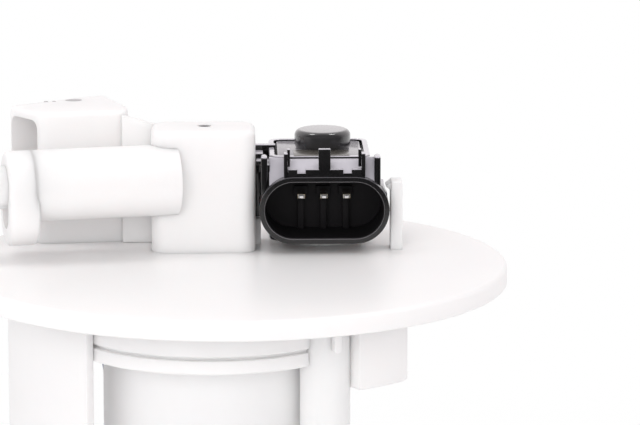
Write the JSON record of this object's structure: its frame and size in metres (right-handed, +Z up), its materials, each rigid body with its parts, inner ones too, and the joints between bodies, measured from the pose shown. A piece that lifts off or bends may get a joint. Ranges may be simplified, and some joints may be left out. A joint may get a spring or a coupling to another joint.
{
  "type": "fuel pump module",
  "caption": "In-tank fuel pump module: white round flange with ports and a black pressure sensor, over a spring-loaded reservoir with pump, filter and level float.",
  "frame": {"origin": "centre of the flange's seat face, on the flange axis; z = 0 is the plane that rests on the tank", "axes": "+Z up out of the tank along the flange axis, -Y towards the mouth of the tank-pressure sensor, +X to the right of that view"},
  "size_m": [0.1304, 0.1517, 0.218],
  "materials": {
    "natural_plastic": "natural acetal, milky white, fine moulded sheen",
    "black_plastic": "black glass-filled moulding, satin with gloss on edges",
    "dark_plastic": "dark grey moulding",
    "steel": "bright zinc or stainless finish",
    "spring_steel": "bare spring steel wire",
    "tinned_brass": "tin plated blades",
    "rubber": "fuel-proof rubber",
    "filter_paper": "resin treated pleated paper",
    "filter_cloth": "woven nylon mesh",
    "ferrite": "sintered ferrite",
    "carbon": "pressed carbon",
    "float_foam": "closed-cell nitrile foam, dull black",
    "circuit": "green circuit board",
    "ceramic": "white ceramic with printed resistor tracks",
    "wire_pump": "red insulated wire",
    "wire_sender": "blue insulated wire"
  },
  "bodies": {
    "flange_assembly": {"flange": "natural_plastic", "power_terminals": "tinned_brass", "harness_plug_upper": "black_plastic", "filter_can": "natural_plastic", "filter_element": "filter_paper", "filter_end_caps": "natural_plastic", "pressure_regulator": "steel", "regulator_clip": "black_plastic", "regulator_seal": "rubber", "guide_rods": "steel", "rod_retaining_rings": "steel", "spring_front": "spring_steel", "spring_rear": "spring_steel", "sensor_housing": "black_plastic", "sensor_terminals": "tinned_brass", "sensor_circuit": "circuit", "sensor_lid": "black_plastic", "sensor_cap": "black_plastic", "sensor_seal": "rubber", "vent_cage": "natural_plastic", "supply_hose": "dark_plastic", "hose_clamp_upper": "steel", "pump_wires": "wire_pump", "sender_wires": "wire_sender"},
    "vent_valve_float": {"vent_float": "dark_plastic"},
    "reservoir_assembly": {"hose_clamp_lower": "steel", "harness_plug_pump": "black_plastic", "reservoir_cup": "natural_plastic", "reservoir_lid": "natural_plastic", "guide_sleeves": "natural_plastic", "foot_valve": "rubber", "jet_pump": "natural_plastic", "jet_nozzle": "black_plastic", "pump_base": "natural_plastic", "pump_isolators": "rubber", "pump_casing": "steel", "pump_inlet": "dark_plastic", "chamber_plate": "dark_plastic", "pump_end_cap": "black_plastic", "pump_terminals": "tinned_brass", "magnets": "ferrite", "brushes": "carbon", "strainer_frame": "black_plastic", "strainer_sock": "filter_cloth", "sender_frame": "natural_plastic", "sender_card": "ceramic"},
    "pump_rotor": {"impeller": "dark_plastic", "armature": "steel", "rotor_shaft": "steel"},
    "float_arm": {"arm_holder": "black_plastic", "sender_contact": "tinned_brass", "float_arm_wire": "steel", "float_clip": "steel"},
    "level_float": {"float_body": "float_foam"}
  },
  "joints": [
    {"name": "reservoir_slide", "type": "slide", "parent": "flange_assembly", "child": "reservoir_assembly", "axis": [0, 0, 1], "range_m": [0, 0.03], "stiffness_N_per_m": 300, "springref_m": -0.08, "deforming": ["spring_front", "spring_rear", "supply_hose", "pump_wires", "sender_wires"]},
    {"name": "vent_float_rise", "type": "slide", "parent": "flange_assembly", "child": "vent_valve_float", "axis": [0, 0, 1], "range_m": [0, 0.0038]},
    {"name": "rotor_spin", "type": "hinge", "parent": "reservoir_assembly", "child": "pump_rotor", "pos_m": [0, 0, -0.14], "axis": [0, 0, 1], "continuous": true},
    {"name": "arm_swing", "type": "hinge", "parent": "reservoir_assembly", "child": "float_arm", "pos_m": [0.037, -0.001, -0.147], "axis": [-1, 0, 0], "range_deg": [0, 70]},
    {"name": "float_turn", "type": "hinge", "parent": "float_arm", "child": "level_float", "pos_m": [0.055, -0.08559, -0.17126], "axis": [1, 0, 0], "continuous": true}
  ]
}
